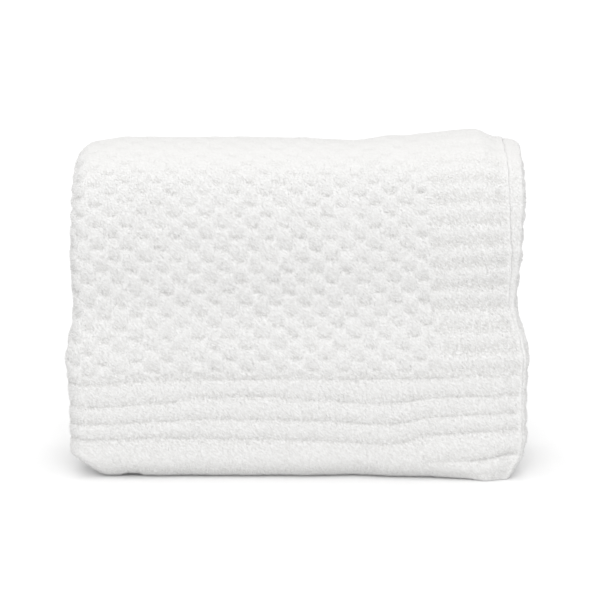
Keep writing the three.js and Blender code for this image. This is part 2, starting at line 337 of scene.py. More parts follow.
# %% Lines of the section
FACE_COLUMNS = 174
FOLD_STEPS = 22
RIGHT_FOLD_STEPS = 10
EDGE_STEPS = 6
INNER_STEPS, CORE_STEPS = 4, 2
HIDDEN_COLUMNS = (-80, 60, 125, 165, 200)

# The ply behind shows beside the outer ply's edge, as a narrow strip from here to its own edge
STRIP_START, STRIP_COLUMNS, STRIP_SHORT = 202, 8, 3
INNER_EDGE = HALF_WIDTH - STRIP_SHORT

EDGE_ROUND = PLY / 2
FOLD_CENTRE = float(-HALF_WIDTH + half_strip(-HALF_WIDTH))
LEFT_RADIUS = float(half_strip(-HALF_WIDTH))
RIGHT_RADIUS = PLY + PLY_GAP[1] / 2
RIGHT_CENTRE = HALF_WIDTH - RIGHT_RADIUS
RIGHT_MIDDLE = float(face_offset(2, True, RIGHT_CENTRE) - fanned(PLY_GAP, RIGHT_CENTRE) / 2)
print("left fold", round(2 * LEFT_RADIUS, 1), "thick, right fold", round(2 * RIGHT_RADIUS, 1))

# %% Adding lines
lines = []


def add_line(along, x, offset, across, outside=0.0, inside=0.0, is_edge=False):
    """One line along the path. outside and inside say how far it shows on the outer stretches
    of the path, up to the foot, and on the inner ones."""
    shows = np.where(along <= BACK_END, outside, inside)
    full = np.ones_like(along)
    lines.append((along, x * full, offset * full, across * full, shows, is_edge * full))


def add_hidden(ply, inner, columns, start, direction):
    """A hidden face of a ply. start is its place on the cloth at the left fold."""
    for x in columns:
        add_line(HIDDEN, x, face_offset(ply, inner, x), start + direction * (x - FOLD_CENTRE))


def add_turn(along, centre, middle, radius, start, end, steps, across, shows=None, is_edge=False):
    """A round turn of the section, without its two ends. start and end are in half turns, and
    shows gives how far a share of the turn shows outside and inside."""
    for step in range(1, steps):
        share = step / steps
        angle = lerp(start, end, share) * math.pi
        x = centre + radius * math.cos(angle)
        offset = middle + radius * math.sin(angle)
        turned = across - radius * abs(end - start) * math.pi * share
        outside, inside = shows(share) if shows else (0, 0)
        add_line(along, x, offset, turned, outside, inside, is_edge)


def bulging(share):
    """Shows most half way round a turn, and not at its ends."""
    return (math.sin(math.pi * share),) * 2


def round_the_left(share):
    """The left fold shows wholly up to half way round, and then less and less."""
    return (1 if share < 0.5 else math.sin(math.pi * share), math.sin(math.pi * share))


# %% Outer ply and left fold
def draw_outer_ply():
    """The outline starts at the outer ply's edge and goes left along its face."""
    edge_centre = outer_edge(FACE) - EDGE_ROUND
    for column in range(FACE_COLUMNS + 1):
        x = lerp(edge_centre, FOLD_CENTRE, column / FACE_COLUMNS)
        sunk = EDGE_SINKS * (1 - ease((edge_centre - x) / EDGE_SOFT_WIDE))
        add_line(FACE, x, half_strip(x) - sunk, x, outside=1)
    add_turn(FOLD, FOLD_CENTRE, 0, LEFT_RADIUS, 0.5, 1.5, FOLD_STEPS, FOLD_CENTRE, round_the_left)


draw_outer_ply()
print("lines on the outer ply and round the left fold", len(lines))


# %% Plies inside
def draw_inner_plies():
    """The outline goes on along ply 3, round the right fold, along ply 2, round the left fold's
    core and along ply 1 to its edge, and then back by the same plies' other faces."""
    inside = (FOLD_CENTRE, *HIDDEN_COLUMNS, RIGHT_CENTRE)
    corner = INNER_EDGE - EDGE_ROUND
    to_edge = (FOLD_CENTRE, *HIDDEN_COLUMNS, corner)
    ply3 = FOLD_CENTRE - math.pi * LEFT_RADIUS
    right = ply3 - (RIGHT_CENTRE - FOLD_CENTRE)
    ply2 = right - math.pi * RIGHT_RADIUS - (RIGHT_CENTRE - FOLD_CENTRE)
    ply1 = ply2 - math.pi * PLY / 2
    last = ply1 - (INNER_EDGE - FOLD_CENTRE)
    edge_middle = face_offset(1, True, INNER_EDGE) + PLY / 2
    right_turn = (RIGHT_CENTRE, RIGHT_MIDDLE, RIGHT_RADIUS, -0.5, 0.5, RIGHT_FOLD_STEPS, right)
    edge_turn = (corner, edge_middle, EDGE_ROUND, -0.5, 0.5, EDGE_STEPS, last)

    add_hidden(3, True, inside, ply3, -1)
    add_turn(EDGE, *right_turn, bulging)
    add_hidden(2, False, inside[::-1], ply2, 1)
    add_turn(HIDDEN, FOLD_CENTRE, 0, PLY_GAP[0] / 2, 1.5, 0.5, CORE_STEPS, ply2)
    add_hidden(1, True, to_edge, ply1, -1)
    add_turn(EDGE, *edge_turn, bulging, True)
    for x in np.linspace(corner, STRIP_START, STRIP_COLUMNS):
        uncovered = ease((x - outer_edge(EDGE)) / EDGE_ROUND)
        add_line(EDGE, x, face_offset(1, False, x), ply1 - (x - FOLD_CENTRE), uncovered, 0, True)
    add_hidden(1, False, to_edge[-2::-1], ply1, -1)
    add_turn(HIDDEN, FOLD_CENTRE, 0, PLY + PLY_GAP[0] / 2, 0.5, 1.5, INNER_STEPS, ply2)
    add_hidden(2, True, inside, ply2, 1)
    add_turn(HIDDEN, RIGHT_CENTRE, RIGHT_MIDDLE, PLY_GAP[1] / 2, 0.5, -0.5, CORE_STEPS, right)
    add_hidden(3, False, inside[::-1], ply3, -1)
    add_turn(HIDDEN, FOLD_CENTRE, 0, LEFT_RADIUS - PLY, 1.5, 0.5, INNER_STEPS, FOLD_CENTRE)


draw_inner_plies()
print("and with the plies inside", len(lines))


# %% Inner face and edge of the outer ply
def close_outer_ply():
    """The outline comes back along the outer ply's inner face and round its edge."""
    for x in (FOLD_CENTRE, *HIDDEN_COLUMNS):
        add_line(HIDDEN, x, face_offset(0, True, x), x)
    inner_corner = outer_edge(HIDDEN) - EDGE_ROUND
    nestled = face_offset(0, True, inner_corner) - EDGE_NESTLES
    add_line(HIDDEN, inner_corner, nestled, inner_corner)
    centre = outer_edge(EDGE) - EDGE_ROUND
    half_edge = (PLY - EDGE_SINKS + EDGE_NESTLES) / 2
    middle = face_offset(0, True, centre) - EDGE_NESTLES + half_edge
    for angle in np.linspace(-0.5, 0.5, EDGE_STEPS + 1)[1:-1] * math.pi:
        x = centre + EDGE_ROUND * math.cos(angle)
        offset = middle + half_edge * math.sin(angle)
        add_line(EDGE, x, offset, x, math.cos(angle), math.cos(angle), is_edge=True)


close_outer_ply()
print("lines in the whole section", len(lines))

# %% [markdown]
# ## Where each kind of knit lies
#
# The side borders and the two end borders are ribbed, and the field between them is basket
# weave. Each point gets a share of both, and a share of how far it shows at all. On a part that
# lies between plies that share is nothing, so no puff can push through its neighbour.

# %% Shares of the knit at every point
rib, x, offset, across, shows, is_edge = (np.concatenate(column) for column in zip(*lines))
base = settle(x, *on_path(x, offset, rib))
base[:, 2] += read(HEM_LIFT, base[:, 0]) * np.clip(1 - rib, 0, 1)

# How fast one kind of knit passes into the next, and how it fades: close above the floor,
# towards the foot, and at the outer ply's edge
END_RIBS_BLEND = 0.5
FLOOR_CLEAR = (1, 11)
FOOT_FADE = 1.5
RIB_AT_EDGE, RIB_AT_EDGE_WIDE = 0.5, 10

# The hem is two ribs in one, which part on the right. Its pile lies a little flat.
HEM_RIBS = 2
HEM_SPLIT, HEM_SPLIT_OVER = 100, 60
PLAIN_HEM, HEM_BLEND = 0.15, 0.3

from_edge = outer_edge(rib) - x
on_face = (across == x) & (is_edge == 0)
from_end = np.minimum(rib, PATH_END - rib)
end = ease(1 - (from_end - END_BORDER_RIBS) / END_RIBS_BLEND)
side = on_face * ease((SIDE_BORDER + BORDER_BLEND - from_edge) / (2 * BORDER_BLEND)) + is_edge
border = np.maximum(side, end)
near_edge = np.where(on_face, ease(from_edge / RIB_AT_EDGE_WIDE), 1 - is_edge)
clear = ease((base[:, 2] - FLOOR_CLEAR[0]) / (FLOOR_CLEAR[1] - FLOOR_CLEAR[0]))
towards_foot = on_face & (rib <= BACK_END)
shows = shows * np.where(towards_foot, ease((BACK_END - rib) * FOOT_FADE), 1)
knit = {
    "rib": from_end,
    "shows": shows,
    "weave": shows * clear * (1 - border),
    "ribs": shows * clear * border * lerp(RIB_AT_EDGE, 1, near_edge),
    "end_border": end,
    "hem_split": ease((x - HEM_SPLIT) / HEM_SPLIT_OVER) * (from_end < HEM_RIBS),
    "plain": PLAIN_HEM * ease((HEM_RIBS - from_end) / HEM_BLEND),
    "stretch": rib,
}
print("points", len(base), "of which show", int((shows > 0).sum()))

# %% Places on the cloth
STEPS_TO_A_RIB = 12


def along_cloth(rib):
    """Length of cloth from the front end to a place counted in ribs, up the middle of the front."""
    steps = np.linspace(0, PATH_END, STEPS_TO_A_RIB * PATH_END + 1)
    middle = np.zeros_like(steps)
    points = settle(middle, *on_path(middle, half_strip(middle), steps))
    lengths = np.linalg.norm(np.diff(points, axis=0), axis=1)
    return np.interp(rib, steps, np.concatenate([[0], np.cumsum(lengths)]))


knit["across"] = across * MM
knit["along"] = along_cloth(rib) * MM
print("cloth length along the outside", round(float(knit["along"].max()), 3), "m")


# %% Joining the lines up
def skin_between(first, second, start_first, start_second):
    """Triangles between two lines: the one that lags is carried forward, and of two that are
    level the right hand one."""
    here, there = 0, 0
    along_first, along_second = first[0].tolist() + [math.inf], second[0].tolist() + [math.inf]
    x_first, x_second = first[1].tolist(), second[1].tolist()
    found = []
    while here < len(x_first) - 1 or there < len(x_second) - 1:
        next_first, next_second = along_first[here + 1], along_second[there + 1]
        a, b = start_first + here, start_second + there
        is_right = x_first[here] > x_second[there]
        if next_first < next_second or (next_first == next_second and is_right):
            found.append((a, a + 1, b))
            here += 1
        else:
            found.append((a, b + 1, b))
            there += 1
    return found


def skin_faces():
    """Faces between each line and the next, and one face to close each end of the strip."""
    starts = np.cumsum([0] + [len(line[0]) for line in lines]).tolist()
    faces = []
    for place, line in enumerate(lines):
        after = (place + 1) % len(lines)
        faces.extend(skin_between(line, lines[after], starts[place], starts[after]))
    faces.append(starts[:-1])
    faces.append([end - 1 for end in starts[:0:-1]])
    return faces


def placed_in_frame():
    """The points in metres, centred on the solid's box and standing on its floor."""
    placed = base * MM
    middle = (placed.min(axis=0) + placed.max(axis=0)) / 2
    box_low, box_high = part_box(NODE)
    placed[:, 0] += (box_low.x + box_high.x) / 2 - middle[0]
    placed[:, 1] += (box_low.y + box_high.y) / 2 - middle[1]
    placed[:, 2] += box_low.z - placed[:, 2].min()
    return placed


# %% The cloth as one mesh
def write_knit(mesh):
    """Writes the kinds of knit on the points, and the cloth's flat layout as a UV map."""
    for name, values in knit.items():
        attribute = mesh.attributes.new(name, "FLOAT", "POINT")
        attribute.data.foreach_set("value", np.asarray(values, np.float32))
    corners = np.zeros(len(mesh.loops), np.int32)
    mesh.loops.foreach_get("vertex_index", corners)
    flat_width = knit["across"][corners] / (CLOTH_WIDTH * MM)
    flat_length = knit["along"][corners] / (CLOTH_LENGTH * MM)
    flat = np.stack([flat_width, flat_length], axis=1).astype(np.float32)
    mesh.uv_layers.new(name="cloth").data.foreach_set("uv", flat.ravel())


def make_cloth():
    """The folded cloth as one closed mesh, with its knit written on its points."""
    mesh = bpy.data.meshes.new("throw")
    mesh.from_pydata(placed_in_frame(), [], skin_faces())
    write_knit(mesh)
    mesh.validate()
    cloth = bpy.data.objects.new("throw", mesh)
    bpy.context.scene.collection.objects.link(cloth)
    return cloth


cloth = make_cloth()
print("base skin", len(cloth.data.vertices), "points,", len(cloth.data.polygons), "faces")

# %% [markdown]
# ## Building node trees
#
# The relief, the pile and the finishes are node trees. These helpers add a node, fill in or link
# its inputs, and give back its output, so that a tree reads like a sum.

# %% Helpers for single nodes
def add_node(tree, kind, inputs=None, output=0, **settings):
    """Adds a node, sets or links its inputs, and gives back one of its outputs."""
    node = tree.nodes.new(kind)
    for setting, value in settings.items():
        setattr(node, setting, value)
    for key, value in (inputs or {}).items():
        if isinstance(value, bpy.types.NodeSocket):
            tree.links.new(value, node.inputs[key])
        else:
            node.inputs[key].default_value = value
    return node.outputs[output]


def calc(tree, operation, *values):
    """One sum on numbers."""
    return add_node(tree, "ShaderNodeMath", dict(enumerate(values)), operation=operation)


def times(tree, *values):
    product = values[0]
    for value in values[1:]:
        product = calc(tree, "MULTIPLY", product, value)
    return product


def total(tree, *values):
    summed = values[0]
    for value in values[1:]:
        summed = calc(tree, "ADD", summed, value)
    return summed


def vector_calc(tree, operation, *values, output=0):
    """One sum on vectors."""
    values = dict(enumerate(values))
    return add_node(tree, "ShaderNodeVectorMath", values, output, operation=operation)


def scaled(tree, vector, factor):
    """A vector made longer or shorter by a factor."""
    return add_node(tree, "ShaderNodeVectorMath", {0: vector, "Scale": factor}, operation="SCALE")


def mixed(tree, low, high, share):
    """low + (high - low) * share, as numbers."""
    return calc(tree, "MULTIPLY_ADD", calc(tree, "SUBTRACT", high, low), share, low)


def eased(tree, value, start, end, low=0.0, high=1.0):
    """A smooth step from low to high while value goes from start to end."""
    limits = {"Value": value, "From Min": start, "From Max": end, "To Min": low, "To Max": high}
    return add_node(tree, "ShaderNodeMapRange", limits, interpolation_type="SMOOTHSTEP")


def named(tree, name):
    """A number kept on each point of the cloth."""
    return add_node(tree, "GeometryNodeInputNamedAttribute", {"Name": name}, data_type="FLOAT")


def noise_at(tree, place, size, detail=2.0):
    """Noise about zero, over space."""
    sizes = {"Vector": place, "Scale": calc(tree, "DIVIDE", 1.0, size), "Detail": detail}
    return calc(tree, "SUBTRACT", add_node(tree, "ShaderNodeTexNoise", sizes), 0.5)


# %% Helpers for whole geometry node trees
FAR = 10


def kept_above_floor(tree, geometry):
    """Points that would sink into the floor are laid on it."""
    place = add_node(tree, "GeometryNodeInputPosition")
    place = vector_calc(tree, "MAXIMUM", place, (-FAR, -FAR, 0))
    return add_node(tree, "GeometryNodeSetPosition", {"Geometry": geometry, "Position": place})


def new_tree(name, sizes):
    """A geometry node tree with named inputs, and its group input's sockets by name."""
    tree = bpy.data.node_groups.new(name, "GeometryNodeTree")
    tree.interface.new_socket("Geometry", in_out="INPUT", socket_type="NodeSocketGeometry")
    tree.interface.new_socket("Geometry", in_out="OUTPUT", socket_type="NodeSocketGeometry")
    for size, default in sizes.items():
        kind = "NodeSocketInt" if isinstance(default, int) else "NodeSocketFloat"
        tree.interface.new_socket(size, in_out="INPUT", socket_type=kind).default_value = default
    return tree, tree.nodes.new("NodeGroupInput").outputs


def end_tree(tree, geometry, material):
    """Every tree ends the same way: instances made real, and a material set."""
    real = add_node(tree, "GeometryNodeRealizeInstances", {"Geometry": geometry})
    done = add_node(tree, "GeometryNodeSetMaterial", {"Geometry": real, "Material": material})
    tree.links.new(done, tree.nodes.new("NodeGroupOutput").inputs[0])


def grown(piece, tree, name, **sizes):
    """Runs a tree on a piece and gives back the result as a new plain mesh object."""
    modifier = piece.modifiers.new(tree.name, "NODES")
    modifier.node_group = tree
    for socket in tree.interface.items_tree:
        if socket.in_out == "INPUT" and socket.name in sizes:
            modifier[socket.identifier] = sizes[socket.name]
    evaluated = piece.evaluated_get(bpy.context.evaluated_depsgraph_get())
    mesh = bpy.data.meshes.new_from_object(evaluated)
    piece.modifiers.remove(modifier)
    mesh.name = name
    made = bpy.data.objects.new(name, mesh)
    bpy.context.scene.collection.objects.link(made)
    return made


# %% [markdown]
# ## The chenille finish
#
# Chenille yarn is a thread with a short velvety pile all round it. It has no gloss, a soft sheen
# at grazing angles, and looks a little warmer and darker down in the hollows of the knit, where
# light bounces from fibre to fibre. That darker, warmer look is painted into the colour here, as
# painted shade in the hollows. The fine tangle is too small to model, so a bump and a speckle
# give it; the speckle is partly random tone and partly painted shade between the fibres. Both are
# stretched along a slant, because the yarn's strands cross the puffs at a slant, and the speckle
# is strongest in the hollows, where the strands part and the painted shade is deepest.

# %% Material of the cloth
# The crest colour is the yarn's own white. The hollow colour is it darker and warmer: painted shade
# for the hollows of the knit.
CREST_COLOUR = (0.735, 0.734, 0.732, 1)
HOLLOW_SHADE_COLOUR = (0.62, 0.615, 0.605, 1)

# How far the colour goes from the painted hollow shade to the crest's colour: on a crest, in a
# hollow, and where the pile lies combed flat. Combed is highest on the up-facing top, where this
# darkens and evens the colour as painted shade against the overhead light. Noises are added to
# it, and calmed there.
CREST_SHARE, HOLLOW_SHARE, COMBED_AND_TOP_SHADE_SHARE = 0.6, 0.25, 0.2
# The mottle is random tone. The speckle is partly random tone and partly painted shade between the
# fibres, and is painted stronger in the hollows.
MOTTLE, SPECKLE, HOLLOW_SPECKLE_SHADE = 0.15, 2.1, 5.5
COMBED_CALM = 0.75

# Noises: size and detail
FIBRES, TANGLE, TUFTS = (1.2 * MM, 1), (1.7 * MM, 4), (3.2 * MM, 2)
NOISE_ROUGHNESS = 0.65
STRAND_SLANT = math.radians(42)
STRAND_STRETCH = 2.8
BUMP_DEPTH, TUFT_BUMP = 1.2 * MM, 0.6
SHEEN_ROUGHNESS, GLOSS = 0.5, 0.1


def shaded(name, roughness, sheen):
    """A material with a plain matte shader, and its tree and shader node."""
    material = bpy.data.materials.new(name)
    material.use_nodes = True
    tree = material.node_tree
    shader = tree.nodes["Principled BSDF"]
    shader.inputs["Roughness"].default_value = roughness
    shader.inputs["Sheen Weight"].default_value = sheen
    shader.inputs["Sheen Roughness"].default_value = SHEEN_ROUGHNESS
    shader.inputs["Specular IOR Level"].default_value = GLOSS
    return material, tree, shader


def strand_place(tree):
    """The piece's own place in space, turned to the strands' slant and stretched along them."""
    place = add_node(tree, "ShaderNodeTexCoord", output="Object")
    turned = {"Vector": place, "Rotation": (0, STRAND_SLANT, 0), "Scale": (STRAND_STRETCH, 1, 1)}
    return add_node(tree, "ShaderNodeMapping", turned, vector_type="TEXTURE")


def strand_noise(tree, size, detail):
    """Noise from 0 to 1, in streaks along the strands."""
    sizes = {"Scale": 1 / size, "Detail": detail, "Roughness": NOISE_ROUGHNESS}
    return add_node(tree, "ShaderNodeTexNoise", {"Vector": strand_place(tree), **sizes})


def written(tree, name):
    """A number that the relief has written on the cloth's points."""
    return add_node(tree, "ShaderNodeAttribute", output="Fac", attribute_name=name)


def livelier(tree):
    """1 where the pile stands up, less where it lies combed flat."""
    return mixed(tree, 1.0, 1 - COMBED_CALM, written(tree, "combed"))


def yarn_colour(tree):
    """Painted hollow shade to crest colour by how high the knit stands, with a random mottle and a
    speckle of painted shade between fibres. Where the pile lies combed flat, most on the up-facing
    top, it is darker and more even, which on the top is painted shade."""
    mottle = times(tree, calc(tree, "SUBTRACT", strand_noise(tree, *TUFTS), 0.5), MOTTLE)
    # Speckle of painted fibre shade, strongest where the loft is low, in the hollows.
    strength = mixed(tree, HOLLOW_SPECKLE_SHADE, SPECKLE, written(tree, "loft"))
    speckle = times(tree, calc(tree, "SUBTRACT", strand_noise(tree, *FIBRES), 0.5), strength)
    node = tree.nodes.new("ShaderNodeMix")
    node.data_type = "RGBA"
    # Painted shade: where the loft is low the colour goes towards the hollow shade colour.
    standing = mixed(tree, HOLLOW_SHARE, CREST_SHARE, written(tree, "loft"))
    even = mixed(tree, standing, COMBED_AND_TOP_SHADE_SHARE, written(tree, "combed"))
    share = total(tree, even, times(tree, total(tree, mottle, speckle), livelier(tree)))
    tree.links.new(share, node.inputs["Factor"])
    colours = [socket for socket in node.inputs if socket.type == "RGBA"]
    for socket, colour in zip(colours, (HOLLOW_SHADE_COLOUR, CREST_COLOUR)):
        socket.default_value = colour
    return next(socket for socket in node.outputs if socket.type == "RGBA")


def make_chenille():
    """The finish of the knitted skin, with a bump for the tangle of fibres."""
    material, tree, shader = shaded("white_chenille", roughness=0.95, sheen=0.3)
    tree.links.new(yarn_colour(tree), shader.inputs["Base Color"])
    tangle = strand_noise(tree, *TANGLE)
    tufts = calc(tree, "MULTIPLY", strand_noise(tree, *TUFTS), TUFT_BUMP)
    height = times(tree, calc(tree, "ADD", tangle, tufts), livelier(tree))
    raised = {"Height": height, "Strength": 1.0, "Distance": BUMP_DEPTH}
    tree.links.new(add_node(tree, "ShaderNodeBump", raised), shader.inputs["Normal"])
    return material


chenille = make_chenille()


# %% Material of the pile
def make_pile_finish():
    """The finish of the tufts: the yarn's colour with its painted shade, with no bump, as each tuft is
    so thin.
    """
    material, tree, shader = shaded("chenille_pile", roughness=0.9, sheen=0.3)
    tree.links.new(yarn_colour(tree), shader.inputs["Base Color"])
    return material


pile_finish = make_pile_finish()
print("finishes", [m.name for m in bpy.data.materials])

# %% [markdown]
# ## The knit as relief
#
# A basket weave knit is a chequerboard of raised puffs and hollows of purl, so two cosine waves
# multiplied together give it: one across the cloth, one along it. With a sine along the cloth
# instead, the product tells a hollow's upper edge from its lower one. A hollow slopes in from its
# upper edge and ends behind the crisp upper edge of the puff below. The ribs are the same idea in
# one direction, and lean up the cloth as well, which the skews give. A bump in the finish would
# be less work, but then the outline would stay smooth and no puff would shade the next. So the
# skin's points are moved, by a geometry node tree in which every size has a name and can be
# tried out.

# %% Sizes of the knit
# Lengths are in metres now, and the rest are shares and, for a wander, radians
RELIEF = {
    "Puff Pair Width": 31 * MM,
    "Puff Pair Height": 22.3 * MM,
    "Puff Lean": 0.087,
    "Puff Along": 246.5 * MM,
    "Puff Raised": 1.3 * MM,
    "Hollow Depth": 1.6 * MM,
    "Puff Slant": 0.2,
    "Rib Height": 1.8 * MM,
    "End Rib Height": 2.2 * MM,
    "Split Height": 3.6 * MM,
    "Rib Skew": 1.4,
    "End Rib Skew": 1.3,
    "Side Rib Shift": 0.2,
    "Crease Wander": 0.15,
    "Top Flatness": 0.6,
    "Wander": 1.5,
    "Wander Size": 40 * MM,
    "Calm Size": 34 * MM,
    "Unevenness": 3.0 * MM,
    "Unevenness Size": 70 * MM,
}
print("a puff and a hollow take", RELIEF["Puff Pair Width"], "by", RELIEF["Puff Pair Height"], "m")

# %% Puffs of the basket weave
# Where a hollow starts and where it is at its deepest, on a scale from puff, 1, to hollow, -1,
# and where a puff starts and is full. A hollow deepens from its upper edge to its lower one.
HOLLOW_RIM, HOLLOW_FLOOR = 0.0, -0.5
PUFF_FOOT, PUFF_CREST = -0.5, 0.6
UPPER_EDGE, LOWER_EDGE = -0.7, 1.0

# The two waves wander apart, because each reads its noise at a place of its own
HERE, ELSEWHERE = (0, 0, 0), (0.3, 0.1, 0.2)


def puff_turns(tree, size, place):
    """How far round its wave each point is, across the cloth and along it, in radians."""
    along = calc(tree, "SUBTRACT", named(tree, "along"), size["Puff Along"])
    lean = calc(tree, "MULTIPLY", along, size["Puff Lean"])
    across = total(tree, named(tree, "across"), lean)
    turns = []
    for distance, period, shift in (
        (across, "Puff Pair Width", HERE),
        (along, "Puff Pair Height", ELSEWHERE),
    ):
        moved = vector_calc(tree, "ADD", place, shift)
        wander = times(tree, noise_at(tree, moved, size["Wander Size"]), size["Wander"])
        turn = times(tree, calc(tree, "DIVIDE", distance, size[period]), math.tau)
        turns.append(calc(tree, "ADD", turn, wander))
    slant = times(tree, calc(tree, "SINE", times(tree, turns[0], 2.0)), size["Puff Slant"])
    return turns[0], calc(tree, "ADD", turns[1], slant)


def puff_shape(tree, size, place, lively):
    """The height of the weave, and its loft: 0 at the foot of a hollow, 1 on a puff."""
    across, along = puff_turns(tree, size, place)
    column = calc(tree, "COSINE", across)
    chequer = times(tree, column, calc(tree, "COSINE", along))
    lower_edge = times(tree, column, calc(tree, "SINE", along))
    hollow = eased(tree, chequer, HOLLOW_RIM, HOLLOW_FLOOR)
    sunk = times(tree, hollow, eased(tree, lower_edge, UPPER_EDGE, LOWER_EDGE), lively)
    swell = times(tree, eased(tree, chequer, PUFF_FOOT, PUFF_CREST), lively)
    height = times(tree, swell, size["Puff Raised"])
    height = calc(tree, "SUBTRACT", height, times(tree, sunk, size["Hollow Depth"]))
    return height, calc(tree, "SUBTRACT", 1.0, sunk)


# %% Ribs of the borders
# The fuller a rib, the lower the number, and the narrower the crease beside it. A rib's loft at
# RIB_MIDDLE stays at the height of the plain skin.
RIB_FULLNESS, END_RIB_FULLNESS = 1.2, 0.45
RIB_MIDDLE = 0.7


def rib_loft(tree, size, place):
    """0 on the line between two ribs, 1 on a rib's crown. In the hem, HEM_RIBS make one."""
    end = named(tree, "end_border")
    wander = times(tree, noise_at(tree, place, size["Wander Size"]), size["Crease Wander"])
    shift = mixed(tree, size["Side Rib Shift"], 0.0, end)
    rib = calc(tree, "SUBTRACT", total(tree, named(tree, "rib"), wander), shift)
    fullness = mixed(tree, RIB_FULLNESS, END_RIB_FULLNESS, end)
    skew = mixed(tree, size["Rib Skew"], size["End Rib Skew"], end)

    def crown(turns):
        within = calc(tree, "POWER", calc(tree, "FRACT", turns), skew)
        return calc(tree, "POWER", calc(tree, "SINE", times(tree, within, math.pi)), fullness)

    in_hem = calc(tree, "LESS_THAN", rib, HEM_RIBS)
    whole = times(tree, in_hem, calc(tree, "SUBTRACT", 1.0, named(tree, "hem_split")))
    return mixed(tree, crown(rib), crown(times(tree, rib, 1 / HEM_RIBS)), whole)


def rib_shape(tree, size, place, calm):
    """The height of the ribs, and their loft."""
    loft = rib_loft(tree, size, place)
    full = mixed(tree, size["Rib Height"], size["End Rib Height"], named(tree, "end_border"))
    full = mixed(tree, full, size["Split Height"], named(tree, "hem_split"))
    return times(tree, calc(tree, "SUBTRACT", loft, RIB_MIDDLE), full, calm), loft


# %% How lively the knit is
CALM_PATCH, LIVELY_PATCH = -0.2, 0.2
CALMEST, LIVELIEST = 0.8, 1.2
TOP_BEGINS, TOP_FULL = 0.45, 0.9


def liveliness(tree, size, place, up):
    """How strongly the knit stands out, from patch to patch. Pulled over the top it lies flat."""
    patches = noise_at(tree, place, size["Calm Size"])
    lively = eased(tree, patches, CALM_PATCH, LIVELY_PATCH, CALMEST, LIVELIEST)
    flat = times(tree, eased(tree, up, TOP_BEGINS, TOP_FULL), size["Top Flatness"])
    return times(tree, lively, calc(tree, "SUBTRACT", 1.0, flat))


# %% Relief tree
def build_relief():
    """Moves the skin's points in and out, and writes how high and how combed each one is."""
    tree, size = new_tree("knit relief", RELIEF)
    place = add_node(tree, "GeometryNodeInputPosition")
    normal = add_node(tree, "GeometryNodeInputNormal")
    shows, weave, ribs = (named(tree, name) for name in ("shows", "weave", "ribs"))
    up = vector_calc(tree, "DOT_PRODUCT", normal, (0, 0, 1), output="Value")
    lively = liveliness(tree, size, place, up)
    puff_height, puff_loft = puff_shape(tree, size, place, lively)
    rib_height, crowns = rib_shape(tree, size, place, lively)
    uneven = times(tree, noise_at(tree, place, size["Unevenness Size"]), size["Unevenness"], shows)
    height = total(tree, times(tree, puff_height, weave), times(tree, rib_height, ribs), uneven)

    plain = calc(tree, "SUBTRACT", 1.0, total(tree, weave, ribs))
    # The loft also sets how far the colour is darkened into painted hollow shade.
    loft = total(tree, times(tree, puff_loft, weave), times(tree, crowns, ribs), plain)
    geometry = size["Geometry"]
    # combed is high on the up-facing top and on the hem: the tufts are shorter there and the colour
    # darker and more even, which on the top is painted shade against the overhead light.
    combed = calc(tree, "MAXIMUM", eased(tree, up, TOP_BEGINS, TOP_FULL), named(tree, "plain"))
    for name, value in (("loft", loft), ("combed", combed)):
        stored = {"Geometry": geometry, "Name": name, "Value": value}
        geometry = add_node(tree, "GeometryNodeStoreNamedAttribute", stored, data_type="FLOAT")

    offset = {"Geometry": geometry, "Offset": scaled(tree, normal, height)}
    moved = kept_above_floor(tree, add_node(tree, "GeometryNodeSetPosition", offset))
    end_tree(tree, add_node(tree, "GeometryNodeSetShadeSmooth", {"Geometry": moved}), chenille)
    return tree


throw = grown(cloth, build_relief(), "throw_cloth")
bpy.data.objects.remove(cloth)
print("knitted skin", len(throw.data.polygons), "faces")

# %% [markdown]
# ## The pile
#
# The short pile shows at the outline and as a fine speckle. Hair curves would be the usual way,
# but only meshes can be handed on. So slim pointed tufts with closed faces are scattered on the
# knitted skin, a few million single fibres being far too many to model. One piece for each
# stretch of the cloth keeps every mesh to a size that is easy to handle, and lets the stretches
# that are seen first have the thickest pile.

# %% Sizes of the pile
PILE = {
    "Tufts": 500000.0,
    "Length": 1.5 * MM,
    "Root": 0.3 * MM,
    "Tousle": 0.5,
    "Tousle Size": 3 * MM,
    "Combed Length": 0.5,
    "From": 0.0,
    "To": 6.0,
    "Seed": 1,
}
SHORTEST, LONGEST = 0.7, 1.3
COMB_STRENGTH = 4.0
TUFT_SIDES = 3
print("a tuft is", PILE["Length"], "m long and", 2 * PILE["Root"], "m wide at its root")


# %% Pile tree
def scattered(tree, size):
    """Points on the cloth that shows, and the cloth's normal at each."""
    stretch = named(tree, "stretch")
    before_start = calc(tree, "LESS_THAN", stretch, size["From"])
    before_end = calc(tree, "LESS_THAN", stretch, size["To"])
    within = calc(tree, "SUBTRACT", before_end, before_start)
    density = times(tree, size["Tufts"], within, named(tree, "shows"))
    scatter = tree.nodes.new("GeometryNodeDistributePointsOnFaces")
    tree.links.new(size["Geometry"], scatter.inputs["Mesh"])
    tree.links.new(density, scatter.inputs["Density"])
    tree.links.new(size["Seed"], scatter.inputs["Seed"])
    return scatter.outputs["Points"], scatter.outputs["Normal"]


def tousled(tree, size, normal):
    """The way each tuft points: off the cloth, combed by a noise and strayed at random."""
    place = add_node(tree, "GeometryNodeInputPosition")
    scale = calc(tree, "DIVIDE", 1.0, size["Tousle Size"])
    noise = add_node(tree, "ShaderNodeTexNoise", {"Vector": place, "Scale": scale}, output="Color")
    tangle = vector_calc(tree, "SUBTRACT", noise, (0.5, 0.5, 0.5))
    combed = scaled(tree, tangle, times(tree, size["Tousle"], COMB_STRENGTH))
    most = {0: (-0.5, -0.5, -0.5), 1: (0.5, 0.5, 0.5)}
    stray = add_node(tree, "FunctionNodeRandomValue", most, data_type="FLOAT_VECTOR")
    way = vector_calc(tree, "ADD", normal, combed)
    return vector_calc(tree, "ADD", way, scaled(tree, stray, size["Tousle"]))


